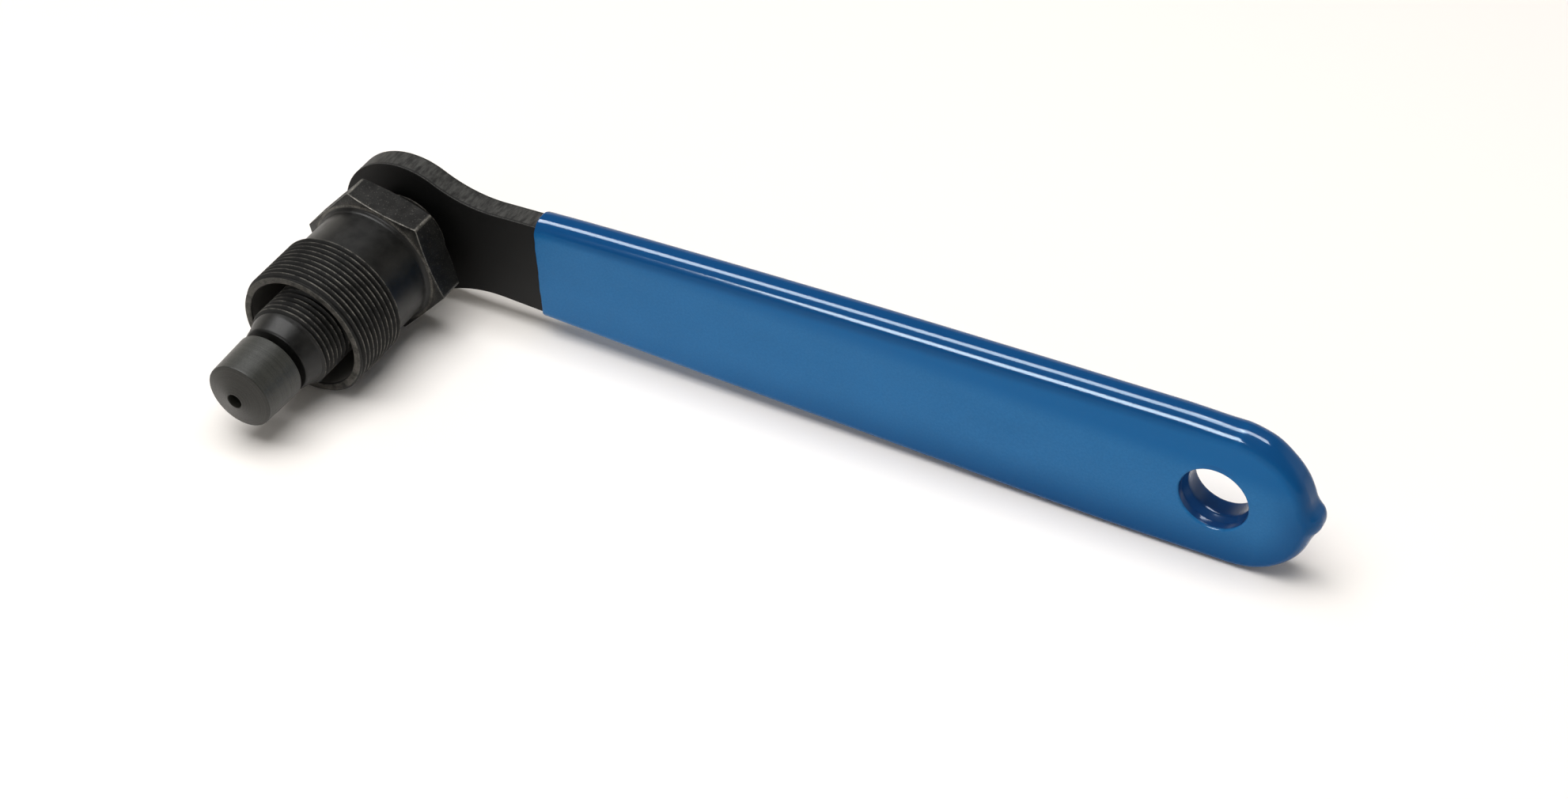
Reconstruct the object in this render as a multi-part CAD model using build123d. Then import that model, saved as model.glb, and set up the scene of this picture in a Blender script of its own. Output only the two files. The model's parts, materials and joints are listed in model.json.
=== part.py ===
from build123d import *
import os
from math import cos, radians, sin, sqrt

# Bicycle crank puller: a lever turns a drive screw through a threaded body, and a swivel tip at the
# screw's end presses on the bottom bracket spindle. Sizes are in millimetres. While the pieces are
# made, the screw's axis is Z and points to the tip, the lever runs along X, and Z = 0 is the lever's
# front face.

# Lever, stamped from plate: round head, waist, bowed handle edges and round end
PLATE = 4.0
HEAD_R = 12.2
WAIST_W = 16.5
WAIST_FILLET = 22.0
BOW_R = 2850.0
END_X = 140.8
END_R = 11.5
EDGE_BREAK = 0.4

# Grip, a dipped vinyl coat over the handle, with a lined hang hole and a drip nub at its end
GRIP_X = 25.0
COAT = 0.75
GRIP_ROUND = 1.6
HANG_BACK = 2.1
HANG_R = 5.4
HANG_BREAK = 0.5
NUB_R = 2.4
NUB_L = 1.3
NUB_DROP = 0.45
NUB_FILLET = 3.0

# Puller body, turned from hex bar: the flats stand a little outside the crank thread
HEX_GAP = 4.6
HEX_T = 5.2
HEX_OVER = 0.1
HEX_TURN = -14.0
NECK_L = 8.8
NECK_STEP = 0.9
NECK_FOOT = 0.8
CRANK_THREAD_D = 22.0
CRANK_THREAD_L = 10.4
MOUTH_WALL = 1.6
MOUTH_DEPTH = 11.0
RIM_CHAMFER = 0.3
BORE_CHAMFER = 0.6

# Drive screw, with a square tenon through the lever, peened over behind it
SCREW_D = 14.0
SCREW_L = 35.8
NOSE_L = 3.2
NOSE_STEP = 1.25
SHOULDER = 0.64
PEEN_OVER = 0.45
PEEN_H = 1.2
PEEN_RIM = 0.35
PEEN_SLOPE = 2.8
SOCKET_DEPTH = 12.0

# Swivel tip, and the flat wire ring that keeps its stem in the screw
TIP_GAP = 1.35
TIP_L = 7.6
TIP_REAR_D = 11.6
TIP_FRONT_D = 11.1
TIP_DOME = 1.2
TIP_CHAMFER = 0.2
CENTRE_D = 2.4
CENTRE_DEPTH = 3.5
CENTRE_POINT = 0.6
STEM_D = 7.0
STEM_CHAMFER = 0.4
RING_W = 1.0
RING_T = 0.9
RING_BACK = 5.0
RING_SPLIT = 24.0

# Clearances: the screw in the body, the stem in the screw, the ring in its grooves, the stem's end
THREAD_PLAY = 0.05
STEM_PLAY = 0.05
RING_PLAY = 0.05
END_PLAY = 0.05

# Heights along the screw's axis
hex_front = HEX_GAP + HEX_T
neck_front = hex_front + NECK_L
body_front = neck_front + CRANK_THREAD_L
socket_end = SCREW_L - SOCKET_DEPTH
ring_low = SCREW_L - RING_BACK - RING_T / 2
ring_high = SCREW_L - RING_BACK + RING_T / 2
tip_back = SCREW_L + TIP_GAP
tip_front = tip_back + TIP_L
tip_apex = tip_front + TIP_DOME

# Radii and widths that follow from a neighbour's size
thread_r = CRANK_THREAD_D / 2
hex_r = thread_r + HEX_OVER
neck_r = thread_r - NECK_STEP
foot_in = NECK_FOOT * (1 - sqrt(0.5))
mouth_r = thread_r - MOUTH_WALL
screw_r = SCREW_D / 2
bore_r = screw_r + THREAD_PLAY
tenon_r = screw_r - SHOULDER
peen_r = tenon_r + PEEN_OVER
stem_r = STEM_D / 2
socket_r = stem_r + STEM_PLAY
groove_r = socket_r + RING_W / 2 + RING_PLAY
stem_floor = socket_r - RING_W - 2 * RING_PLAY
hang_x = END_X - HANG_BACK

# Lever outline: all arcs run into each other, so the outline of the dipped coat has the same centres
waist_y = WAIST_W / 2 + WAIST_FILLET
waist = Vector(sqrt((HEAD_R + WAIST_FILLET) ** 2 - waist_y ** 2), waist_y)
end = Vector(END_X, 0)
nub = Vector(END_X + END_R + COAT + NUB_L - NUB_R, -NUB_DROP)


def meet(first, first_r, second, second_r, way):
    span = (second - first).length
    toward = (second - first).normalized()
    along = (span ** 2 + first_r ** 2 - second_r ** 2) / (2 * span)
    across = way * sqrt(first_r ** 2 - along ** 2)
    return first + toward * along + Vector(-toward.Y, toward.X) * across


def arc_about(centre, start, stop):
    middle = (start - centre).normalized() + (stop - centre).normalized()
    return ThreePointArc(start, centre + middle.normalized() * (start - centre).length, stop)


def plain_end(upper, lower):
    return [ThreePointArc(upper, (END_X + END_R, 0), lower)]


def drip_end(upper, lower):
    arcs = []
    nub_sides = []
    for side, way in ((upper, 1), (lower, -1)):
        foot = meet(end, END_R + COAT + NUB_FILLET, nub, NUB_R + NUB_FILLET, way)
        on_end = end + (foot - end).normalized() * (END_R + COAT)
        on_nub = nub + (foot - nub).normalized() * NUB_R
        arcs.extend([arc_about(end, side, on_end), arc_about(foot, on_end, on_nub)])
        nub_sides.append(on_nub)
    return arcs + [ThreePointArc(nub_sides[0], nub + Vector(NUB_R, 0), nub_sides[1])]


def handle_outline(grow, make_end):
    bow = meet(end, BOW_R - END_R, waist, BOW_R + WAIST_FILLET, 1)
    head_side = waist.normalized() * (HEAD_R + grow)
    waist_side = bow + (waist - bow).normalized() * (BOW_R + grow)
    end_side = bow + (end - bow).normalized() * (BOW_R + grow)
    upper = [arc_about(waist, head_side, waist_side), arc_about(bow, waist_side, end_side)]
    lower = [mirror(arc, Plane.XZ) for arc in upper]
    head_arc = ThreePointArc(head_side, (-HEAD_R - grow, 0), (head_side.X, -head_side.Y))
    ends = make_end(end_side, Vector(end_side.X, -end_side.Y))
    return make_face(upper + lower + [head_arc] + ends)


def rims(solid):
    ends = solid.faces().sort_by(Axis.Z)
    return ends[0].edges() + ends[-1].edges()


# Lever: blanked, its edges broken, pierced square for the screw's tenon and round for hanging
plate = extrude(handle_outline(0, plain_end), -PLATE)
plate = chamfer(rims(plate), EDGE_BREAK)
tenon = extrude(Rectangle(tenon_r * sqrt(2), tenon_r * sqrt(2)), -PLATE)
lever_hole = extrude(Pos(hang_x, 0) * Circle(HANG_R + COAT), -PLATE)
lever = plate - tenon - lever_hole

# Grip: the plate's shape grown by the coat, with the drip, cut off square where the dip stopped
coat = extrude(Pos(0, 0, COAT) * handle_outline(COAT, drip_end), -PLATE - 2 * COAT)
coat = fillet(rims(coat), GRIP_ROUND)
coat = split(coat, Plane.YZ.offset(GRIP_X), keep=Keep.TOP)
coat = coat - extrude(Pos(hang_x, 0, COAT) * Circle(HANG_R), -PLATE - 2 * COAT)
hang_rims = coat.edges().filter_by(GeomType.CIRCLE)
hang_rims = hang_rims.filter_by(lambda edge: abs(edge.radius - HANG_R) < 1e-4)
coat = chamfer(hang_rims, HANG_BREAK)
grip = coat - (plate - lever_hole)

# Puller body: hex, neck with a flared foot and crank thread, bored for the screw and opened at its mouth
hexagon = RegularPolygon(hex_r, 6, major_radius=False, rotation=HEX_TURN)
body_profile = Polyline(
    (0, hex_front),
    (neck_r + NECK_FOOT, hex_front),
    (neck_r + foot_in, hex_front + foot_in),
    (neck_r, hex_front + NECK_FOOT),
    (neck_r, neck_front),
    (thread_r, neck_front),
    (thread_r, body_front - RIM_CHAMFER),
    (thread_r - RIM_CHAMFER, body_front),
    (0, body_front),
    close=True,
)
puller_body = extrude(Pos(0, 0, HEX_GAP) * hexagon, HEX_T)
puller_body = puller_body + revolve(Plane.XZ * make_face(body_profile), Axis.Z)
bore_profile = Polyline(
    (0, HEX_GAP),
    (bore_r + BORE_CHAMFER, HEX_GAP),
    (bore_r, HEX_GAP + BORE_CHAMFER),
    (bore_r, body_front - MOUTH_DEPTH),
    (mouth_r, body_front - MOUTH_DEPTH),
    (mouth_r, body_front - RIM_CHAMFER),
    (mouth_r + RIM_CHAMFER, body_front),
    (0, body_front),
    close=True,
)
puller_body = puller_body - revolve(Plane.XZ * make_face(bore_profile), Axis.Z)

# Drive screw: turned, with a tapered nose and a grooved socket, then the tenon and its peened head
screw_profile = Polyline(
    (0, 0),
    (screw_r, 0),
    (screw_r, SCREW_L - NOSE_L),
    (screw_r - NOSE_STEP, SCREW_L),
    (socket_r, SCREW_L),
    (socket_r, ring_high + RING_PLAY),
    (groove_r, ring_high + RING_PLAY),
    (groove_r, ring_low - RING_PLAY),
    (socket_r, ring_low - RING_PLAY),
    (socket_r, socket_end),
    (0, socket_end),
    close=True,
)
drive_screw = revolve(Plane.XZ * make_face(screw_profile), Axis.Z)
peen_profile = Polyline(
    (0, -PLATE - PEEN_H),
    (peen_r - PEEN_SLOPE, -PLATE - PEEN_H),
    (peen_r, -PLATE - PEEN_RIM),
    (peen_r, -PLATE),
    (0, -PLATE),
    close=True,
)
peen = revolve(Plane.XZ * make_face(peen_profile), Axis.Z)
drive_screw = drive_screw + tenon + peen

# Swivel tip: tapered foot with a shallow cone face and centre hole, on a grooved stem
tip_profile = Polyline(
    (0, socket_end + END_PLAY),
    (stem_r - STEM_CHAMFER, socket_end + END_PLAY),
    (stem_r, socket_end + END_PLAY + STEM_CHAMFER),
    (stem_r, ring_low - RING_PLAY),
    (stem_floor, ring_low - RING_PLAY),
    (stem_floor, ring_high + RING_PLAY),
    (stem_r, ring_high + RING_PLAY),
    (stem_r, tip_back),
    (TIP_REAR_D / 2 - TIP_CHAMFER, tip_back),
    (TIP_REAR_D / 2, tip_back + TIP_CHAMFER),
    (TIP_FRONT_D / 2, tip_front - TIP_CHAMFER),
    (TIP_FRONT_D / 2 - TIP_CHAMFER, tip_front),
    (CENTRE_D / 2, tip_apex),
    (CENTRE_D / 2, tip_apex - CENTRE_DEPTH),
    (0, tip_apex - CENTRE_DEPTH - CENTRE_POINT),
    close=True,
)
swivel_tip = revolve(Plane.XZ * make_face(tip_profile), Axis.Z)

# Retaining ring: split, with half of its width in the screw's groove. The stem's groove is deep
# enough to take the whole ring while the stem is pushed in.
ring_section = Plane.XZ * Pos(socket_r, (ring_low + ring_high) / 2) * Rectangle(RING_W, RING_T)
retaining_ring = revolve(ring_section, Axis.Z, 360 - RING_SPLIT)

# Resting place: the tool lies on its side, on a hex corner, the crank thread's rim and the grip's end
corner_turn = radians(HEX_TURN - 60)
corner = Vector(cos(corner_turn), sin(corner_turn)) * (2 * hex_r / sqrt(3)) + Vector(0, 0, hex_front)
down = Vector(0, -1, 0)
for _ in range(12):
    side = Vector(down.X, down.Y).normalized()
    rim = side * thread_r + Vector(0, 0, body_front - RIM_CHAMFER)
    foot = Vector(END_X, 0, COAT - GRIP_ROUND) + side * (END_R + COAT - GRIP_ROUND) + down * GRIP_ROUND
    down = (foot - corner).cross(rim - corner).normalized()
floor = Plane(origin=corner, x_dir=Vector(1, 0, 0) - down * down.X, z_dir=-down)
pieces = {
    "lever": lever,
    "grip": grip,
    "puller_body": puller_body,
    "drive_screw": drive_screw,
    "swivel_tip": swivel_tip,
    "retaining_ring": retaining_ring,
}
laid = {name: floor.to_local_coords(piece) for name, piece in pieces.items()}
box = Compound([piece.solid() for piece in laid.values()]).bounding_box()
seat = Pos(-box.center().X, -box.center().Y, -box.min.Z)

os.makedirs("parts", exist_ok=True)
for name, piece in laid.items():
    placed = seat * piece
    placed.label = name
    export_step(placed, f"parts/{name}.step")
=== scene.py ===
import json
from math import atan2, ceil, cos, hypot, pi, radians, sin, sqrt, tau

import bmesh
import bpy
from mathutils import Matrix, Vector


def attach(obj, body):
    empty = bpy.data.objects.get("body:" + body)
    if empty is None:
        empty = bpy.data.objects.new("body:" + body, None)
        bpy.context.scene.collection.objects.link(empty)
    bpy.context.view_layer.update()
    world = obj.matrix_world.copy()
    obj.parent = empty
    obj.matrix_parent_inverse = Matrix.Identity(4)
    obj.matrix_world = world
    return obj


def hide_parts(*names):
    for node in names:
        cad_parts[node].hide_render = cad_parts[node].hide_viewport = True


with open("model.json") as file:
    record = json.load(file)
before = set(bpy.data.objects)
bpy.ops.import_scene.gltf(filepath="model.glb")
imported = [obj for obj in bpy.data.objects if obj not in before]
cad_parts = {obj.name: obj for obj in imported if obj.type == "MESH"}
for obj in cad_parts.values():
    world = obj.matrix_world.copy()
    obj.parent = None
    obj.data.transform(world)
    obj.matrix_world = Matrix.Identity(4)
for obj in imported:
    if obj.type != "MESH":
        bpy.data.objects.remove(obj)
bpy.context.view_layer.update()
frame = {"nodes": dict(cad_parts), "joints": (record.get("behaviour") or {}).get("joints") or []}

# The puller body: a hex collar, a plain neck and a crank thread, turned from one hex bar, bored for
# the drive screw and opened out at its mouth. Steel, black oxide, worn bright on edges and crests, the
# crests brighter on the lever's side as a painted glint.
BODY_SIDES = 192
HEX_TURN = radians(-14)
HEX_R = 11.1
HEX_CORNER_R = HEX_R / cos(pi / 6)
HEX_FACE_R = 11.04
HEX_SLOPE = 0.26
HEX_BREAK = 0.09
HEX_BACK = 4.6
HEX_FRONT = 9.8
NECK_R = 10.1
NECK_FOOT = 0.92
NECK_RELIEF = 0.12
NECK_FRONT = 18.35
PITCH = 1.0
CRANK_R = 11.0
CRANK_DEPTH = 0.61
CRANK_BACK = 18.6
CRANK_FRONT = 28.55
RIM_R = 10.62
RIM_BACK = 28.96
BODY_FRONT = 29.0
MOUTH_R = 9.4
MOUTH_FLOOR = 18.0
BORE_R = 7.05
BORE_BREAK = 0.6
BORE_FRONT_BREAK = 0.45
OXIDE_DARK = (0.0025, 0.0025, 0.0025, 1)
OXIDE_LIGHT = (0.011, 0.011, 0.010, 1)
BARE_DARK = (0.20, 0.19, 0.17, 1)
BARE_LIGHT = (0.46, 0.44, 0.39, 1)
DUST = (0.13, 0.125, 0.115, 1)

# The bench is in millimetres, with x along the lever and z along the screw, towards its tip.
MM = 0.001
handle_turn = next(joint for joint in frame["joints"] if joint["name"] == "handle_turn")
screw_way = Vector(handle_turn["axis"])
lever_way = Vector((-screw_way.z, 0, screw_way.x)).normalized()
bench = Matrix((lever_way, screw_way.cross(lever_way), screw_way)).transposed().to_4x4()
bench.translation = handle_turn["pos_m"]


def take(piece):
    """Selects one piece alone and makes it the active one."""
    bpy.ops.object.select_all(action="DESELECT")
    piece.select_set(True)
    bpy.context.view_layer.objects.active = piece


def begin(name, primitive, **sizes):
    """Adds a primitive as the start of a piece, on the bench, and opens it with all of it selected."""
    bpy.ops.object.select_all(action="DESELECT")
    primitive(**sizes)
    piece = bpy.context.object
    bpy.ops.object.transform_apply(location=True, rotation=True, scale=True)
    piece.name = name
    piece.data.name = name
    bpy.ops.object.mode_set(mode="EDIT")
    bpy.ops.mesh.select_mode(type="VERT")
    bpy.ops.mesh.select_all(action="SELECT")
    return piece


def pick(choose, kind="verts"):
    """Selects only those vertices, edges or faces of the open piece that the test chooses."""
    mode = {"verts": "VERT", "edges": "EDGE", "faces": "FACE"}[kind]
    bpy.ops.mesh.select_mode(type=mode)
    bpy.ops.mesh.select_all(action="DESELECT")
    mesh = bmesh.from_edit_mesh(bpy.context.object.data)
    for element in getattr(mesh, kind):
        element.select_set(bool(choose(element)))
    mesh.select_flush_mode()
    bmesh.update_edit_mesh(bpy.context.object.data)


def pick_open(*places, axis=2, slack=0.002):
    """Selects the open edges that lie at these places along one axis of the bench."""
    def lies_at(edge, place):
        return all(abs(point.co[axis] - place) < slack for point in edge.verts)
    pick(lambda edge: len(edge.link_faces) < 2 and any(lies_at(edge, place) for place in places), "edges")


def round_shape(radius, height):
    """A lathe ring: each angle round the screw's axis has the same radius and height."""
    return lambda turn: (radius, height)


def pull(*rings):
    """Extrudes the selected ring from one shape to the next, round the screw's axis."""
    for shape in rings:
        bpy.ops.mesh.extrude_edges_move()
        mesh = bmesh.from_edit_mesh(bpy.context.object.data)
        for point in mesh.verts:
            if point.select:
                turn = atan2(point.co.y, point.co.x)
                radius, height = shape(turn)
                point.co = (radius * cos(turn), radius * sin(turn), height)
        bmesh.update_edit_mesh(bpy.context.object.data)


def lathe(*profile):
    """Extrudes the selected ring along a turned profile of radii and heights."""
    pull(*(round_shape(radius, height) for radius, height in profile))


def quarter_round(radius, height, size):
    """A turned profile that rounds from a face at one height onto a wall at one radius."""
    leans = [step * pi / 16 for step in range(9)]
    return [(radius + size * (1 - sin(lean)), height + size * (1 - cos(lean))) for lean in leans]


def weld():
    """Merges the open piece's doubles and leaves all of it selected."""
    bpy.ops.mesh.select_all(action="SELECT")
    bpy.ops.mesh.remove_doubles(threshold=0.0005)
    bpy.ops.mesh.select_all(action="SELECT")


def cut_thread(name, crest_r, depth, start, stop, sides):
    """A right-hand thread as an open sleeve: one tooth, screwed round the axis and cut to length."""
    root, flank, ease, crest = 0.18 * PITCH, 0.31 * PITCH, 0.06 * PITCH, 0.08 * PITCH
    rise, rounding = 0.9 * depth, 0.1 * depth
    tooth = [(root, 0.0), (flank, rise), (ease, rounding), (crest, 0.0)]
    tooth += [(ease, -rounding), (flank, -rise)]
    piece = begin(name, bpy.ops.mesh.primitive_plane_add, size=1.0)
    bpy.ops.mesh.merge(type="CENTER")
    bpy.ops.transform.translate(value=(crest_r - depth, 0, start - 1.5 * PITCH))
    for along, out in tooth:
        bpy.ops.mesh.extrude_vertices_move(TRANSFORM_OT_translate={"value": (out, 0, along)})
    bpy.ops.object.mode_set(mode="OBJECT")
    winding = piece.modifiers.new("winding", "SCREW")
    winding.axis = "Z"
    winding.angle = tau
    winding.screw_offset = PITCH
    winding.iterations = ceil((stop - start) / PITCH) + 3
    winding.steps = sides
    winding.render_steps = sides
    winding.use_merge_vertices = False
    bpy.ops.object.modifier_apply(modifier=winding.name)
    bpy.ops.object.mode_set(mode="EDIT")
    weld()
    bpy.ops.mesh.bisect(plane_co=(0, 0, start), plane_no=(0, 0, 1), clear_inner=True)
    bpy.ops.mesh.select_all(action="SELECT")
    bpy.ops.mesh.bisect(plane_co=(0, 0, stop), plane_no=(0, 0, 1), clear_outer=True)
    bpy.ops.object.mode_set(mode="OBJECT")
    return piece


def join_in(piece, other):
    """Joins another mesh into a piece and opens the piece."""
    take(piece)
    other.select_set(True)
    bpy.ops.object.join()
    bpy.ops.object.mode_set(mode="EDIT")


def settle(piece, body, node, finish):
    """Closes a piece, lays it from the bench into its place on the tool and gives it its finish."""
    weld()
    bpy.ops.mesh.normals_make_consistent(inside=False)
    bpy.ops.object.mode_set(mode="OBJECT")
    take(piece)
    piece.matrix_world = bench @ Matrix.Scale(MM, 4)
    bpy.ops.object.transform_apply(location=True, rotation=True, scale=True)
    bpy.ops.object.shade_smooth_by_angle(angle=radians(30))
    weighting = piece.modifiers.new("weighting", "WEIGHTED_NORMAL")
    weighting.keep_sharp = True
    bpy.ops.object.modifier_apply(modifier=weighting.name)
    piece.data.materials.clear()
    piece.data.materials.append(finish)
    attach(piece, body)
    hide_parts(node)


class Value:
    """A socket of a finish. Sums on it add Math nodes, and node() adds any other node."""

    def __init__(self, tree, socket):
        self.tree = tree
        self.socket = socket

    def node(self, kind, settings, inputs, out=0):
        made = self.tree.nodes.new("ShaderNode" + kind)
        for name, setting in settings.items():
            setattr(made, name, setting)
        for name, value in inputs.items():
            if isinstance(value, Value):
                self.tree.links.new(value.socket, made.inputs[name])
            else:
                made.inputs[name].default_value = value
        return Value(self.tree, made.outputs[out])

    def sum(self, operation, first, second):
        return self.node("Math", {"operation": operation}, {0: first, 1: second})

    def __add__(self, other):
        return self.sum("ADD", self, other)

    def __radd__(self, other):
        return self.sum("ADD", other, self)

    def __sub__(self, other):
        return self.sum("SUBTRACT", self, other)

    def __rsub__(self, other):
        return self.sum("SUBTRACT", other, self)

    def __mul__(self, other):
        return self.sum("MULTIPLY", self, other)

    def __rmul__(self, other):
        return self.sum("MULTIPLY", other, self)

    def between(self, low, high):
        """0 below low, 1 above high and smooth between them; the other way round where low is higher."""
        ends = {"Value": self, "From Min": low, "From Max": high, "To Min": 0.0, "To Max": 1.0}
        return self.node("MapRange", {"interpolation_type": "SMOOTHSTEP"}, ends)

    def most(self, other):
        return self.sum("MAXIMUM", self, other)

    def ways(self):
        """A vector's three values."""
        return [self.node("SeparateXYZ", {}, {"Vector": self}, out) for out in range(3)]

    def scaled(self, size):
        return self.node("VectorMath", {"operation": "MULTIPLY"}, {0: self, 1: size})

    def reach(self, x):
        """Distance from the line that stands on the lever at x, along the screw's way."""
        ends = {0: self.scaled((1, 1, 0)), 1: (x, 0, 0)}
        return self.node("VectorMath", {"operation": "DISTANCE"}, ends, 1)

    def noise(self, detail, rough):
        sizes = {"Vector": self, "Scale": 1.0, "Detail": detail, "Roughness": rough}
        return self.node("TexNoise", {"noise_dimensions": "3D"}, sizes)

    def mix(self, first, second):
        """Colour between two colours, by this value."""
        return self.node("Mix", {"data_type": "RGBA"}, {0: self, 6: first, 7: second}, 2)

    def bump(self, distance, strength):
        return self.node("Bump", {}, {"Height": self, "Distance": distance, "Strength": strength})


def new_finish(name, **constants):
    """A material with its shader, and the bench's millimetres as a vector and as three values."""
    finish = bpy.data.materials.new(name)
    finish.use_nodes = True
    tree = finish.node_tree
    shader = tree.nodes["Principled BSDF"]
    for socket, constant in constants.items():
        shader.inputs[socket.replace("_", " ")].default_value = constant
    place = Value(tree, tree.nodes.new("ShaderNodeTexCoord").outputs["Object"])
    laid = {"Location": bench.translation, "Rotation": bench.to_euler(), "Scale": (MM, MM, MM)}
    spot = place.node("Mapping", {"vector_type": "TEXTURE"}, {"Vector": place, **laid})
    return finish, shader, spot, spot.ways()


def feed(shader, **links):
    """Links values to a shader's sockets."""
    for socket, value in links.items():
        value.tree.links.new(value.socket, shader.inputs[socket.replace("_", " ")])


def black_oxide(name, places):
    """Oxide-black steel with turning marks and blotches, and the piece's own worn, dull or dusty places;
    some wear is a painted glint.
    """
    finish, shader, spot, (along, across, up) = new_finish(name, Specular_IOR_Level=0.30)
    radius = spot.reach(0)
    blotch = spot.scaled((0.55, 0.55, 0.55)).noise(4.0, 0.6)
    grain = spot.scaled((9, 9, 9)).noise(3.0, 0.7)
    rings = spot.node("CombineXYZ", {}, {"X": up * 14.0, "Y": radius * 14.0, "Z": 0.0}).noise(2.0, 0.7)
    worn, dull, dusty = places(spot, along, across, up, radius, blotch * 0.5 + grain * 0.5)
    coat = (blotch * 0.6 + grain * 0.4).between(0.3, 0.75).mix(OXIDE_DARK, OXIDE_LIGHT)
    if dusty:
        coat = dusty.mix(coat, DUST)
    bare = grain.between(0.3, 0.7).mix(BARE_DARK, BARE_LIGHT)
    feed(shader, Base_Color=worn.mix(coat, bare))
    feed(shader, Metallic=worn)
    feed(shader, Roughness=0.16 + 0.26 * blotch + 0.16 * grain + 0.25 * dull)
    feed(shader, Normal=(rings * 0.5 + grain * 0.8).bump(0.00003, 0.5))
    return finish


def hex_shape(height, slope):
    """The hex outline, its corners cut back by a shallow turned chamfer."""
    def shape(turn):
        radius = HEX_R / cos((turn - HEX_TURN) % (pi / 3) - pi / 6)
        return radius, height + slope * (radius - HEX_R)
    return shape


puller = begin("puller", bpy.ops.mesh.primitive_circle_add, vertices=BODY_SIDES, radius=BORE_R + BORE_BREAK,
               location=(0, 0, HEX_BACK), rotation=(0, 0, HEX_TURN))
pull(round_shape(HEX_FACE_R, HEX_BACK), hex_shape(HEX_BACK, HEX_SLOPE))
pull(hex_shape(HEX_FRONT, -HEX_SLOPE), round_shape(HEX_FACE_R, HEX_FRONT))
pick(lambda edge: not edge.is_boundary and edge.calc_face_angle(0) > radians(9), "edges")
bpy.ops.mesh.bevel(offset=HEX_BREAK, segments=2, affect="EDGES")
pick_open(HEX_FRONT)
lathe(*quarter_round(NECK_R, HEX_FRONT, NECK_FOOT), (NECK_R, NECK_FRONT), (NECK_R - NECK_RELIEF, CRANK_BACK))
bpy.ops.object.mode_set(mode="OBJECT")
join_in(puller, cut_thread("crank_thread", CRANK_R, CRANK_DEPTH, CRANK_BACK, CRANK_FRONT, BODY_SIDES))
pick_open(CRANK_BACK)
bpy.ops.mesh.fill(use_beauty=True)
bpy.ops.mesh.select_all(action="DESELECT")
bpy.ops.mesh.primitive_circle_add(vertices=BODY_SIDES, radius=RIM_R, location=(0, 0, RIM_BACK))
pick_open(CRANK_FRONT, RIM_BACK)
bpy.ops.mesh.bridge_edge_loops()
pick_open(RIM_BACK)
lathe((RIM_R - 0.06, BODY_FRONT), (MOUTH_R + 0.32, BODY_FRONT), (MOUTH_R + 0.22, RIM_BACK))
lathe((MOUTH_R + 0.02, BODY_FRONT - 0.3), (MOUTH_R, BODY_FRONT - 0.4))
lathe((MOUTH_R, MOUTH_FLOOR + 0.3), (MOUTH_R - 0.2, MOUTH_FLOOR), (BORE_R + BORE_FRONT_BREAK, MOUTH_FLOOR))
lathe((BORE_R, MOUTH_FLOOR - BORE_FRONT_BREAK), (BORE_R, HEX_BACK + BORE_BREAK))
pick_open(HEX_BACK, HEX_BACK + BORE_BREAK)
bpy.ops.mesh.bridge_edge_loops()


def puller_places(spot, along, across, up, radius, patchy):
    """Worn crests, brighter on the lever's side as a painted glint; hex corners, flecks and mouth rim; a
    duller thread and left flat; dust in the mouth.
    """
    on_hex = up.between(HEX_FRONT + 0.1, HEX_FRONT - 0.1)
    on_thread = up.between(CRANK_BACK - 0.2, CRANK_BACK + 0.1)
    crest = radius.between(CRANK_R - 0.12, CRANK_R - 0.02) * on_thread * patchy.between(0.40, 0.66)
    # The crests' wear is stronger on the lever's side: a painted glint where the lamps catch them.
    crest = crest * (0.15 + 0.40 * along.between(-6.0, 5.0))
    past_chamfer = up + HEX_SLOPE * radius - (HEX_FRONT + HEX_SLOPE * HEX_R)
    brink = past_chamfer.between(-0.286, -0.086) * past_chamfer.between(-0.003, -0.036)
    corner = radius.between(HEX_CORNER_R - 0.217, HEX_CORNER_R - 0.077).most(brink)
    corner = corner * up.between(HEX_FRONT + 0.2, HEX_FRONT - 0.1) * patchy.between(0.36, 0.60) * 0.6
    fleck = spot.scaled((4, 4, 4)).noise(2.0, 0.6).between(0.58, 0.72) * on_hex * 0.16
    mouth_rim = up.between(BODY_FRONT - 0.2, BODY_FRONT - 0.03) * patchy.between(0.36, 0.64) * 0.36
    flat_way = HEX_TURN + radians(150)
    left_flat = (sin(flat_way) * across + cos(flat_way) * along).between(HEX_R - 0.25, HEX_R - 0.1) * on_hex
    on_wall = radius.between(MOUTH_R + 0.05, MOUTH_R - 0.02) * radius.between(MOUTH_R - 0.4, MOUTH_R - 0.3)
    dusty = on_wall * up.between(MOUTH_FLOOR - 0.1, MOUTH_FLOOR + 0.3)
    return crest.most(corner).most(fleck).most(mouth_rim), left_flat.most(on_thread), dusty


puller_steel = black_oxide("puller_steel", puller_places)
settle(puller, "puller", "puller_body", puller_steel)

# The drive screw: turned steel with a fine thread, a plain tapered nose and a blind socket for the
# tip's stem. Its square tenon goes through the lever and is peened over behind it. Black oxide.
SCREW_SIDES = 160
SCREW_R = 7.0
SCREW_DEPTH = 0.6
SCREW_BACK = 0.4
SCREW_FRONT = 32.5
PLATE = 4.0
TENON_HALF = 4.49
PEEN_R = 2.2
PEEN_BACK = -5.2
PEEN = [(4.0, -5.18), (5.3, -4.97), (6.2, -4.62), (6.68, -4.35), (6.8, -4.15), (6.72, -PLATE)]
SHOULDER_R = 6.25
SHOULDER_FRONT = 0.38
NOSE_R = 6.5
NOSE_BACK = 32.9
NOSE = [(6.45, 33.1), (6.0, 34.6), (5.83, 35.4), (5.76, 35.62), (5.6, 35.78), (5.4, 35.8)]
SOCKET_R = 3.55
SOCKET_FLOOR = 23.8
GROOVE_R = 4.1
GROOVE_BACK = 30.3
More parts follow.
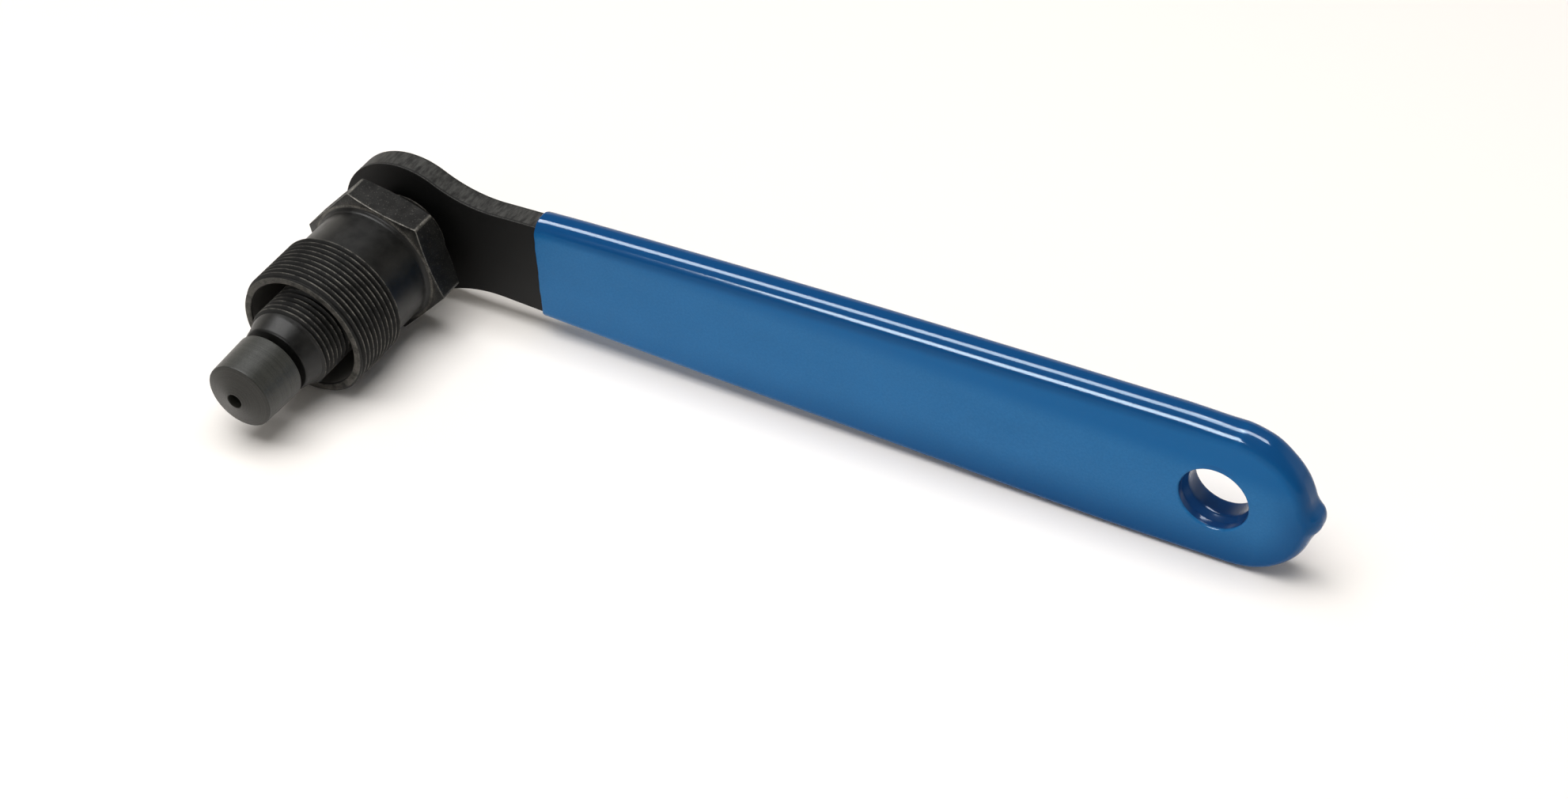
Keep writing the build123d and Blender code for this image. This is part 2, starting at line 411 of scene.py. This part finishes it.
GROOVE_FRONT = 31.3


def square_shape(half, height):
    """A square outline, its flats at one distance from the screw's axis."""
    def shape(turn):
        return half / max(abs(cos(turn)), abs(sin(turn))), height
    return shape


screw = begin("screw", bpy.ops.mesh.primitive_circle_add, vertices=SCREW_SIDES, radius=PEEN_R,
              fill_type="NGON", location=(0, 0, PEEN_BACK))
pick(lambda edge: edge.is_boundary, "edges")
lathe(*PEEN)
pull(square_shape(TENON_HALF, -PLATE), square_shape(TENON_HALF, 0.0))
lathe((SHOULDER_R - 0.05, 0.0), (SHOULDER_R, 0.1), (SHOULDER_R, SHOULDER_FRONT))
bpy.ops.object.mode_set(mode="OBJECT")
join_in(screw, cut_thread("screw_thread", SCREW_R, SCREW_DEPTH, SCREW_BACK, SCREW_FRONT, SCREW_SIDES))
pick_open(SHOULDER_FRONT, SCREW_BACK)
bpy.ops.mesh.bridge_edge_loops()
bpy.ops.mesh.select_all(action="DESELECT")
bpy.ops.mesh.primitive_circle_add(vertices=SCREW_SIDES, radius=NOSE_R, location=(0, 0, NOSE_BACK))
pick_open(SCREW_FRONT, NOSE_BACK)
bpy.ops.mesh.bridge_edge_loops()
pick_open(NOSE_BACK)
lathe(*NOSE, (SOCKET_R + 0.15, 35.8), (SOCKET_R, 35.65))
lathe((SOCKET_R, GROOVE_FRONT), (GROOVE_R, GROOVE_FRONT), (GROOVE_R, GROOVE_BACK), (SOCKET_R, GROOVE_BACK))
lathe((SOCKET_R, SOCKET_FLOOR), (1.0, SOCKET_FLOOR))
bpy.ops.mesh.edge_face_add()


def screw_places(spot, along, across, up, radius, patchy):
    """Worn crests and a duller thread; no dust."""
    worn = radius.between(SCREW_R - 0.14, SCREW_R - 0.02) * patchy.between(0.44, 0.66) * 0.5
    return worn, up.between(SCREW_FRONT + 0.2, SCREW_FRONT - 0.1), None


screw_steel = black_oxide("screw_steel", screw_places)
settle(screw, "handle", "drive_screw", screw_steel)

# The swivel tip: a turned steel foot on a grooved stem that turns freely in the screw's socket. Its
# face is a shallow cone with a centre hole and fine facing rings. Oxide black, a little greener, its
# side painted lighter and its face darker as painted light and shade.
STEM_R = 3.5
STEM_BACK = 23.85
STEM_GROOVE_R = 2.45
TIP_BACK = 37.15
TIP_FRONT = 44.75
CENTRE_R = 1.2
FOOT = [(5.62, TIP_BACK), (5.76, 37.2), (5.8, 37.35), (5.56, 44.5), (5.52, 44.66), (5.4, TIP_FRONT)]
CENTRE = [(1.36, 45.93), (1.24, 45.9), (CENTRE_R, 45.8), (CENTRE_R, 42.45), (0.3, 41.95)]
# Painted light and shade: the side's tones are lighter and the face's tones darker.
TIP_LIT_SIDE_DARK = (0.012, 0.013, 0.011, 1)
TIP_LIT_SIDE_LIGHT = (0.043, 0.044, 0.039, 1)
TIP_SHADED_FACE_DARK = (0.003, 0.003, 0.002, 1)
TIP_SHADED_FACE_LIGHT = (0.022, 0.022, 0.018, 1)
tip = begin("tip", bpy.ops.mesh.primitive_circle_add, vertices=SCREW_SIDES, radius=1.0, fill_type="NGON",
            location=(0, 0, STEM_BACK))
pick(lambda edge: edge.is_boundary, "edges")
lathe((STEM_R - 0.4, STEM_BACK), (STEM_R, STEM_BACK + 0.4), (STEM_R, GROOVE_BACK))
lathe((STEM_GROOVE_R, GROOVE_BACK), (STEM_GROOVE_R, GROOVE_FRONT))
lathe((STEM_R, GROOVE_FRONT), (STEM_R, TIP_BACK))
lathe(*FOOT, *CENTRE)
bpy.ops.mesh.edge_face_add()
tip_steel, shader, spot, (along, across, up) = new_finish("tip_steel", Specular_IOR_Level=0.38)
rings = spot.node("CombineXYZ", {}, {"X": up * 4.0, "Y": spot.reach(0) * 4.5, "Z": 0.0}).noise(4.0, 0.7)
grain = spot.scaled((6, 6, 6)).noise(3.0, 0.7)
marks = (rings * 0.6 + grain * 0.4).between(0.3, 0.7)
# Painted light and shade: the side gets the lighter tone and the face the darker one.
painted_lit_side_tone = marks.mix(TIP_LIT_SIDE_DARK, TIP_LIT_SIDE_LIGHT)
painted_shaded_face_tone = marks.mix(TIP_SHADED_FACE_DARK, TIP_SHADED_FACE_LIGHT)
feed(shader, Base_Color=up.between(TIP_FRONT - 0.2, TIP_FRONT).mix(painted_lit_side_tone, painted_shaded_face_tone))
feed(shader, Roughness=0.26 + 0.24 * grain)
feed(shader, Normal=(rings * 0.8 + grain * 0.35).bump(0.00006, 0.8))
settle(tip, "tip", "swivel_tip", tip_steel)

# The retaining ring: a split ring of flat spring wire in the screw's socket, half in each groove. It
# keeps its solid, with drawn wire's pale streaks.
WIRE_DARK = (0.28, 0.28, 0.27, 1)
WIRE_LIGHT = (0.42, 0.42, 0.40, 1)
ring_steel, shader, spot, (along, across, up) = new_finish("ring_steel", Metallic=1.0)
streak = spot.node("CombineXYZ", {}, {"X": up * 30.0, "Y": along * 2.0, "Z": across * 2.0}).noise(2.0, 0.6)
feed(shader, Base_Color=streak.mix(WIRE_DARK, WIRE_LIGHT))
feed(shader, Roughness=0.28 + 0.2 * streak)
frame["nodes"]["retaining_ring"].data.materials.clear()
frame["nodes"]["retaining_ring"].data.materials.append(ring_steel)

# The lever: stamped from 4 mm steel plate, a round head on the tenon, a waist and a long handle with
# bowed edges and a round end. Matt black, with a rougher grey band on its sheared edges, partly painted
# sheen, and a painted highlight line along its front edge.
HEAD_R = 12.2
HEAD_STEPS = 96
WAIST_HALF = 8.25
WAIST_R = 22.0
WAIST_STEPS = 28
BOW_R = 2850.0
BOW_STEPS = 24
END_X = 140.8
END_R = 11.5
END_STEPS = 64
HANG_X = 138.7
LEVER_HOLE_R = 6.15
LEVER_HOLE_SIDES = 96
TENON_CORNER_R = 4.5 * sqrt(2)
BACK_EDGE = 0.42
FRONT_EDGE = 0.15
PLATE_BLACK = (0.004, 0.004, 0.004, 1)
# The sheared grey is the bare edge's colour and partly a painted sheen.
SHEARED_GREY_AND_SHEEN = (0.050, 0.050, 0.047, 1)


def meet(first, first_r, second, second_r, way):
    """The point at two distances from two centres, left of their line for 1 and right for -1."""
    toward = (second - first).normalized()
    span = (second - first).length
    along = (span ** 2 + first_r ** 2 - second_r ** 2) / (2 * span)
    return first + toward * along + Vector((-toward.y, toward.x)) * way * sqrt(first_r ** 2 - along ** 2)


def flip(point):
    """The same point on the lever's other edge."""
    return Vector((point.x, -point.y))


def draw(start, *arcs):
    """Draws an outline from a point: each arc spins its end about a centre, 1 for anticlockwise."""
    bpy.ops.mesh.merge(type="CENTER")
    bpy.ops.transform.translate(value=(start.x, start.y, 0))
    here = start
    for centre, stop, way, steps in arcs:
        turn = atan2(*(stop - centre).yx) - atan2(*(here - centre).yx)
        turn = way * ((way * turn) % tau)
        bpy.ops.mesh.spin(steps=steps, angle=-turn, center=(centre.x, centre.y, 0), axis=(0, 0, 1))
        for point in bmesh.from_edit_mesh(bpy.context.object.data).verts:
            if point.select:
                point.co = (stop.x, stop.y, 0)
        here = stop


head = Vector((0.0, 0.0))
end = Vector((END_X, 0.0))
waist_y = WAIST_HALF + WAIST_R
waist = Vector((sqrt((HEAD_R + WAIST_R) ** 2 - waist_y ** 2), waist_y))
bow = meet(end, BOW_R - END_R, waist, BOW_R + WAIST_R, 1)
head_side = waist.normalized() * HEAD_R
waist_side = bow + (waist - bow).normalized() * BOW_R
end_side = bow + (end - bow).normalized() * BOW_R
lever = begin("lever_plate", bpy.ops.mesh.primitive_plane_add, size=1.0)
draw(flip(head_side),
     (flip(waist), flip(waist_side), -1, WAIST_STEPS), (flip(bow), flip(end_side), 1, BOW_STEPS),
     (end, end_side, 1, END_STEPS), (bow, waist_side, 1, BOW_STEPS), (waist, head_side, -1, WAIST_STEPS),
     (head, flip(head_side), 1, HEAD_STEPS))
bpy.ops.mesh.primitive_circle_add(vertices=LEVER_HOLE_SIDES, radius=LEVER_HOLE_R, location=(HANG_X, 0, 0))
bpy.ops.mesh.primitive_circle_add(vertices=4, radius=TENON_CORNER_R,
                                  location=(0, 0, 0), rotation=(0, 0, pi / 4))
weld()
bpy.ops.mesh.fill(use_beauty=True)
bpy.ops.mesh.select_all(action="SELECT")
bpy.ops.mesh.extrude_region_move(TRANSFORM_OT_translate={"value": (0, 0, -PLATE)})


def outer_rim(edge):
    """Tells the plate's outer edges, front and back, from its walls and its two holes."""
    level = abs(edge.verts[0].co.z - edge.verts[1].co.z) < 0.01 and edge.calc_face_angle(0) > 1
    middle = (edge.verts[0].co + edge.verts[1].co) / 2
    from_hole = hypot(middle.x - HANG_X, middle.y) - LEVER_HOLE_R
    from_tenon = hypot(middle.x, middle.y) - TENON_CORNER_R
    return level and from_hole > 0.35 and from_tenon > 0.6


pick(lambda edge: outer_rim(edge) and edge.verts[0].co.z < -PLATE / 2, "edges")
bpy.ops.mesh.bevel(offset=BACK_EDGE, segments=4, affect="EDGES")
pick(lambda edge: outer_rim(edge) and edge.verts[0].co.z > -PLATE / 2, "edges")
bpy.ops.mesh.bevel(offset=FRONT_EDGE, segments=3, affect="EDGES")
bpy.ops.object.mode_set(mode="OBJECT")
take(lever)
bpy.ops.object.duplicate()
plate_form = bpy.context.object
plate_form.name = "plate_form"
take(lever)
bpy.ops.object.mode_set(mode="EDIT")
plate_black, shader, spot, (along, across, up) = new_finish("plate_black", Specular_IOR_Level=0.22)
grain = spot.scaled((6, 6, 6)).noise(4.0, 0.65)
# The sheared band is partly painted sheen; the lip is a painted highlight line along the front edge.
sheared = up.between(-0.25, -0.6) * up.between(-PLATE + 0.25, -PLATE + 0.6)
lip_highlight = up.between(-0.24, -0.12) * up.between(-0.02, -0.08)
streak = spot.scaled((1.6, 1.6, 0.5)).noise(4.0, 0.6)
bright = (sheared * streak.between(0.25, 0.75)).most(lip_highlight * grain.between(0.35, 0.6))
feed(shader, Base_Color=bright.mix(PLATE_BLACK, SHEARED_GREY_AND_SHEEN))
feed(shader, Roughness=0.46 + 0.16 * grain)
feed(shader, Normal=(grain + sheared * streak * 0.6).bump(0.00003, 0.35))
settle(lever, "handle", "lever", plate_black)

# The grip: the handle dipped in blue vinyl. The coat follows the plate, is thickest round its edges,
# lines the hang hole, and ends in the drip that hardened as it hung. Smooth and glossy.
COAT = 0.75
FRONT = COAT
BACK = -PLATE - COAT
GRIP_X = 25.0
GRIP_END_R = END_R + COAT
NUB_R = 2.4
NUB_L = 1.3
NUB_DROP = 0.45
NUB_FILLET = 5.0
HANG_R = 5.05
HANG_SIDES = 128
HANG_BACK_ROUND = 0.6
HANG_FRONT_ROUND = 0.35
START_BREAK = 0.28
START_CUTS = 24
ROUND_STEPS = 12
SIDE_STEPS = 80
SHOULDER_STEPS = 40
FILLET_STEPS = 12
NUB_STEPS = 16
VINYL_DARK = (0.0160, 0.128, 0.324, 1)
VINYL_LIGHT = (0.0210, 0.149, 0.370, 1)
# Painted shade: the next four colours darken the coat along the top edge, towards the lower edge, over the
# end's top and in the hang hole.
VINYL_TOP_SHADE = (0.0045, 0.108, 0.312, 1)
VINYL_LOW_SHADE = (0.0005, 0.064, 0.205, 1)
VINYL_BROW_SHADE = (0.0050, 0.058, 0.180, 1)
VINYL_HOLE_SHADE = (0.0080, 0.048, 0.165, 1)

# The bead in the hang hole, as how far the wall stands back and its depth under the coat's front.
BEAD = [(-0.25, 2.2), (-0.25, 1.75), (-0.2, 1.62), (-0.1, 1.52),
        (0.5, 0.98), (0.56, 0.88), (0.6, 0.7), (0.6, 0.1)]

# How far the coat's edge stands out past its even thickness: along the top and the lower edge by the
# place on the lever, and round the end by the angle in degrees.
TOP_SWELL = [(25, 0.36), (32, 0.44), (100, 0.48), (120, 0.58), (132, 0.66), (141, 0.42)]
LOW_SWELL = [(25, 0.0), (80, 0.02), (95, 0.08), (110, 0.19), (121, 0.15), (133, 0.02), (141, -0.04)]
END_SWELL = [(-90, -0.04), (-80, 0.02), (-68, 0.16), (-52, 0.30), (-35, 0.38), (-18, 0.25),
             (0, -0.3), (20, -0.3), (45, -0.2), (70, 0.2), (90, 0.42)]

# The radius of the coat's edge by the place on the lever: along the top, along the lower edge in
# front and behind, and the most that it can be round the end.
TOP_ROUND = [(90, 2.43), (130, 2.59)]
LOW_FRONT_ROUND = [(110, 1.62), (128, 1.46)]
LOW_BACK_ROUND = 2.16
END_ROUND = [(136, 2.62), (150, 2.0), (151.8, 1.9)]

# How much the front is thinned round the end, by the distance from the end's centre and the place on
# the lever, and how much it swells, by the place on the lever and across it.
THIN_OUT = [(11.3, 0.0), (13.6, 0.8)]
THIN_ALONG = [(end.x, 0.0), (149.0, 1.0)]
FULL_ALONG = [(80, 0.0), (132, 0.15)]
FULL_ACROSS = [(0, 1.0), (9.5, 0.0)]


def along_table(table, place):
    """A value between those of a table, smooth from each row to the next."""
    for (low, first), (high, second) in zip(table, table[1:]):
        if place <= high:
            part = min(1, max(0, (place - low) / (high - low)))
            return first + (second - first) * part * part * (3 - 2 * part)
    return table[-1][1]


def bead_shape(swell, depth, lean):
    """The hole's front half: the dip ran together on the lower left and left a slanted bead there."""
    def shape(turn):
        full = 0.5 - 0.5 * cos(turn - radians(60))
        radius = HANG_R + swell * full + HANG_FRONT_ROUND * (1 - sin(lean))
        return radius, FRONT - depth - HANG_FRONT_ROUND * (1 - cos(lean))
    return shape


lining = begin("lining", bpy.ops.mesh.primitive_circle_add, vertices=HANG_SIDES,
               radius=HANG_R + HANG_BACK_ROUND, location=(0, 0, BACK))
lathe(*quarter_round(HANG_R, BACK, HANG_BACK_ROUND)[1:])
pull(*(bead_shape(swell, depth, pi / 2) for swell, depth in BEAD))
pull(*(bead_shape(BEAD[-1][0], 0.0, step * pi / 16) for step in range(8, -1, -1)))
bpy.ops.mesh.select_all(action="SELECT")
bpy.ops.transform.translate(value=(HANG_X, 0, 0))
bpy.ops.object.mode_set(mode="OBJECT")
nub = Vector((end.x + END_R + COAT + NUB_L - NUB_R, -NUB_DROP))


def drip_points(way):
    """The fillet beside the drip: its centre, and where it meets the coat's end and the drip."""
    centre = meet(end, GRIP_END_R + NUB_FILLET, nub, NUB_R + NUB_FILLET, way)
    on_end = end + (centre - end).normalized() * GRIP_END_R
    return centre, on_end, nub + (centre - nub).normalized() * NUB_R


low_foot, low_end, low_nub = drip_points(-1)
high_foot, high_end, high_nub = drip_points(1)
coat_side = bow + (end - bow).normalized() * (BOW_R + COAT)
coat_start = Vector((GRIP_X, bow.y + sqrt((BOW_R + COAT) ** 2 - (GRIP_X - bow.x) ** 2)))
grip = begin("grip_coat", bpy.ops.mesh.primitive_plane_add, size=1.0)
draw(flip(coat_start),
     (flip(bow), flip(coat_side), 1, SIDE_STEPS), (end, low_end, 1, SHOULDER_STEPS),
     (low_foot, low_nub, -1, FILLET_STEPS), (nub, high_nub, 1, NUB_STEPS),
     (high_foot, high_end, -1, FILLET_STEPS), (end, coat_side, 1, SHOULDER_STEPS),
     (bow, coat_start, 1, SIDE_STEPS))
mesh = bmesh.from_edit_mesh(grip.data)
mark = mesh.verts.layers.int.new("mark")
outline = [next(point for point in mesh.verts if len(point.link_edges) == 1 and point.co.y < 0)]
while len(outline) < len(mesh.verts):
    beside = [edge.other_vert(outline[-1]) for edge in outline[-1].link_edges]
    outline.append(next(point for point in beside if point not in outline[-2:]))
edge_path = []
for point in outline:
    if point.co.x > end.x:
        out = (point.co.xy - end).normalized()
        swell = along_table(END_SWELL, atan2(out.y, out.x) * 180 / pi)
    else:
        out = Vector((0, 1 if point.co.y > 0 else -1))
        swell = along_table(TOP_SWELL if point.co.y > 0 else LOW_SWELL, point.co.x)
    edge_path.append(point.co.xy + out * swell)
edge_out = []
for before, after in zip(edge_path[:1] + edge_path, edge_path[1:] + edge_path[-1:]):
    toward = (after - before).normalized()
    edge_out.append(Vector((toward.y, -toward.x)))
edge_out[0], edge_out[-1] = Vector((0, -1)), Vector((0, 1))


def edge_round(place, front):
    """The coat's edge radius at a place on its outline: fullest along the top, tight round the drip."""
    spot = edge_path[place]
    low = along_table(LOW_FRONT_ROUND, spot.x) if front else LOW_BACK_ROUND
    full = along_table([(-10, low), (8, along_table(TOP_ROUND, spot.x))], spot.y)
    return min(full, along_table(END_ROUND, spot.x))


def edge_point(place, step):
    """A point of the coat's rounded edge: steps to ROUND_STEPS lie in front, and the rest behind."""
    front = step <= ROUND_STEPS
    lean = (step if front else step - ROUND_STEPS - 1) * pi / (2 * ROUND_STEPS)
    radius = edge_round(place, front)
    inset = radius * (1 - (sin(lean) if front else cos(lean)))
    height = FRONT - radius * (1 - cos(lean)) if front else BACK + radius * (1 - sin(lean))
    return (edge_path[place] - edge_out[place] * inset).to_3d() + Vector((0, 0, height))


for place, point in enumerate(outline):
    point[mark] = place
    point.co = edge_point(place, 0)
bmesh.update_edit_mesh(grip.data)
bpy.ops.mesh.select_all(action="SELECT")
for step in range(1, 2 * ROUND_STEPS + 2):
    bpy.ops.mesh.extrude_edges_move()
    mesh = bmesh.from_edit_mesh(grip.data)
    mark = mesh.verts.layers.int["mark"]
    for point in mesh.verts:
        if point.select:
            point.co = edge_point(point[mark], step)
    bmesh.update_edit_mesh(grip.data)
for side in (FRONT, BACK):
    pick(lambda point: abs(point.co.z - side) < 0.001 and abs(point.co.x - GRIP_X) < 0.001)
    bpy.ops.mesh.edge_face_add()
    bpy.ops.mesh.subdivide(number_cuts=START_CUTS)
pick_open(GRIP_X, axis=0)
bpy.ops.mesh.edge_face_add()


def dip_line(y):
    """How far the coat's start strays from square: a slant and two slow waves, where the dip ended."""
    return 0.017 * y - 0.35 + 0.05 * sin(0.9 * y + 1.0) + 0.03 * sin(2.3 * y)


for point in bmesh.from_edit_mesh(grip.data).verts:
    if abs(point.co.x - GRIP_X) < 0.001:
        point.co.x += dip_line(point.co.y)
bpy.ops.object.mode_set(mode="OBJECT")
join_in(grip, lining)
for side in (FRONT, BACK):
    pick_open(side)
    bpy.ops.mesh.fill(use_beauty=True)


def start_edge(edge):
    """Tells the sharp edge round the coat's start."""
    return edge.calc_face_angle(0) > 1 and all(point.co.x < GRIP_X + 0.3 for point in edge.verts)


pick(start_edge, "edges")
bpy.ops.mesh.bevel(offset=START_BREAK, segments=4, affect="EDGES")


def cut_front(place, normal, beyond=0):
    """Cuts the coat's flat front along a plane, where it lies beyond a place on the lever."""
    pick(lambda face: face.normal.z > 0.999 and face.calc_center_median().x > beyond, "faces")
    bpy.ops.mesh.bisect(plane_co=place, plane_no=normal)


# The flat front is cut into strips, closer at the end, so that it thins and swells smoothly.
for cut in range(8):
    cut_front((0, 1.2 * cut, 0), (0, 1, 0))
for cut in range(12):
    cut_front((78 + 5 * cut, 0, 0), (1, 0, 0))
for cut in range(5):
    cut_front((145 + 1.3 * cut, 0, 0), (1, 0, 0), 143)
for point in bmesh.from_edit_mesh(grip.data).verts:
    if point.co.z > -PLATE / 2:
        from_end = hypot(point.co.x - end.x, point.co.y)
        point.co.z -= along_table(THIN_OUT, from_end) * along_table(THIN_ALONG, point.co.x)
        swell = along_table(FULL_ALONG, point.co.x) * along_table(FULL_ACROSS, point.co.y)
        point.co.z += swell * (point.co.z + PLATE / 2)
bpy.ops.mesh.select_all(action="SELECT")
bpy.ops.mesh.normals_make_consistent(inside=False)
bpy.ops.object.mode_set(mode="OBJECT")
pocket = grip.modifiers.new("pocket", "BOOLEAN")
pocket.operation = "DIFFERENCE"
pocket.solver = "EXACT"
pocket.object = plate_form
take(grip)
bpy.ops.object.modifier_apply(modifier=pocket.name)
bpy.data.objects.remove(plate_form)
bpy.ops.object.mode_set(mode="EDIT")
vinyl, shader, spot, (along, across, up) = new_finish("blue_vinyl", Specular_IOR_Level=0.16,
                                                      Specular_Tint=(0.62, 0.90, 1.0, 1))
cloud = spot.scaled((0.10, 0.16, 0.16)).noise(3.0, 0.5)
speck = spot.scaled((2.6, 2.6, 2.6)).noise(3.0, 0.6)
from_end = spot.reach(end.x)
# Painted shade: the coat is darker towards its lower edge and round the lower part of its end.
end_low_shade = from_end.between(5.0, 12.0) * along.between(136.0, 146.0) * across.between(10.0, -2.0)
low_edge_shade = (across.between(-2.5, -12.0) * along.between(0.0, 125.0)).most(end_low_shade)
# Painted shade: a darker band along the top edge, for the dark reflection its rounding shows.
top_edge_shade = (across + 0.033 * along).between(7.5, 11.5)
# Painted shade: dark navy over the top of the end and between its highlight lines, for a dark reflection.
end_brow_shade = (across - 0.0257 * along).between(6.4, 8.4) * along.between(146.0, 140.0)
end_brow_shade = end_brow_shade.most(from_end.between(9.9, 11.9) * along.between(138.0, 143.0) * across.between(-3.0, 3.0))
# Painted shade: the hang hole's lining is darker than the coat.
inside = spot.reach(HANG_X).between(HANG_R + 1.2, HANG_R + 0.9) * up.between(FRONT + 0.2, FRONT)
tone = (cloud * 0.3 + speck * 0.7).between(0.3, 0.7).mix(VINYL_DARK, VINYL_LIGHT)
tone = end_brow_shade.mix(low_edge_shade.mix(top_edge_shade.mix(tone, VINYL_TOP_SHADE), VINYL_LOW_SHADE), VINYL_BROW_SHADE)
feed(shader, Base_Color=inside.mix(tone, VINYL_HOLE_SHADE))
feed(shader, Roughness=0.09 + 0.05 * cloud + 0.05 * inside)
feed(shader, Normal=(cloud * 0.9 + speck * 0.04).bump(0.0003, 0.08))
settle(grip, "handle", "grip", vinyl)

# The stage: white paper under a large softbox and a smaller one in front, with long lamps that show
# only as highlights, two on the whole tool and three on the coat. The camera is at the photo's angle.
PAPER = {"Base Color": (0.92, 0.893, 0.862, 1), "Roughness": 0.9, "Specular IOR Level": 0.1}
ROOM_GREY = (0.14, 0.133, 0.126, 1)
ROOM_PALE = (0.97, 0.92, 0.84, 1)
WHITE = (1.0, 1.0, 1.0)
COAT_LINE = (1.0, 0.80, 0.78)
bpy.ops.object.select_all(action="DESELECT")
bpy.ops.mesh.primitive_plane_add(size=6.0)
floor = bpy.context.object
floor.name = "floor"
paper = bpy.data.materials.new("paper")
paper.use_nodes = True
for socket, constant in PAPER.items():
    paper.node_tree.nodes["Principled BSDF"].inputs[socket].default_value = constant
floor.data.materials.append(paper)
coat_only = bpy.data.collections.new("coat_only")
coat_only.objects.link(grip)


def softbox(name, place, aim, size, radiance, tint, roll):
    """A flat lamp that looks from its place to its aim, its width along X before its roll."""
    light = bpy.data.lights.new(name, "AREA")
    light.shape = "RECTANGLE"
    light.size, light.size_y = size
    light.energy = radiance * pi * size[0] * size[1]
    light.color = tint
    lamp = bpy.data.objects.new(name, light)
    bpy.context.scene.collection.objects.link(lamp)
    back = (Vector(place) - Vector(aim)).normalized()
    side = (Vector((1, 0, 0)) - back * back.x).normalized()
    turned = Matrix((side, back.cross(side), back)).transposed().to_4x4()
    lamp.matrix_world = Matrix.Translation(place) @ turned @ Matrix.Rotation(roll, 4, "Z")
    return lamp


def highlight(lamp):
    """Lets a lamp show only as a reflection."""
    lamp.visible_diffuse = False
    return lamp


overhead = softbox("overhead", (-0.08, -0.14, 0.95), (0, 0, 0), (1.00, 0.80), 4.7, (1.0, 0.99, 0.98), 0)
overhead.visible_glossy = False
highlight(softbox("overhead_strip", (-0.40, 0.10, 0.92), (-0.40, 0.02, 0.02), (1.02, 0.30), 9.0, WHITE, 0))
for name, place, size, radiance, roll in (
        ("outer_line", (-0.44, 0.10, 0.90), (0.98, 0.37), 37.0, 0.0),
        ("bend_line", (0.17, 0.31, 0.88), (0.62, 0.29), 44.0, 0.48),
        ("inner_line", (-0.20, -0.640, 0.47), (0.40, 0.28), 62.0, 0.30)):
    line = highlight(softbox(name, place, (place[0] / 2, 0.02, 0.02), size, radiance, COAT_LINE, roll))
    line.light_linking.receiver_collection = coat_only
front = softbox("front", (0.06, -0.74, 0.30), (0.02, 0.02, 0.02), (0.60, 0.60), 1.1, (1.0, 0.97, 0.93),
                radians(45))
front.visible_glossy = False
highlight(softbox("front_strip", (-0.20, -0.665, 0.50), (0, 0.02, 0.02), (0.40, 0.22), 9.0, WHITE,
                  radians(17)))
world = bpy.data.worlds.new("studio")
world.use_nodes = True
gaze = Value(world.node_tree, world.node_tree.nodes.new("ShaderNodeTexCoord").outputs["Generated"])
back, rise = gaze.ways()[1:]
sweep = rise.between(0.60, 0.20) * back.between(-0.1, 0.4)
feed(world.node_tree.nodes["Background"], Color=sweep.mix(ROOM_GREY, ROOM_PALE))
bpy.context.scene.world = world
bpy.context.scene.view_settings.view_transform = "Standard"
camera = bpy.data.objects.new("camera", bpy.data.cameras.new("camera"))
camera.data.lens = 68.053
camera.data.sensor_width = 36.0
camera.data.shift_x = -0.03735
camera.data.shift_y = -0.04920
camera.location = (0.175832, -0.286690, 0.283805)
camera.rotation_euler = (0.927830, 0.0076015, 0.495878)
bpy.context.scene.collection.objects.link(camera)
bpy.context.scene.camera = camera
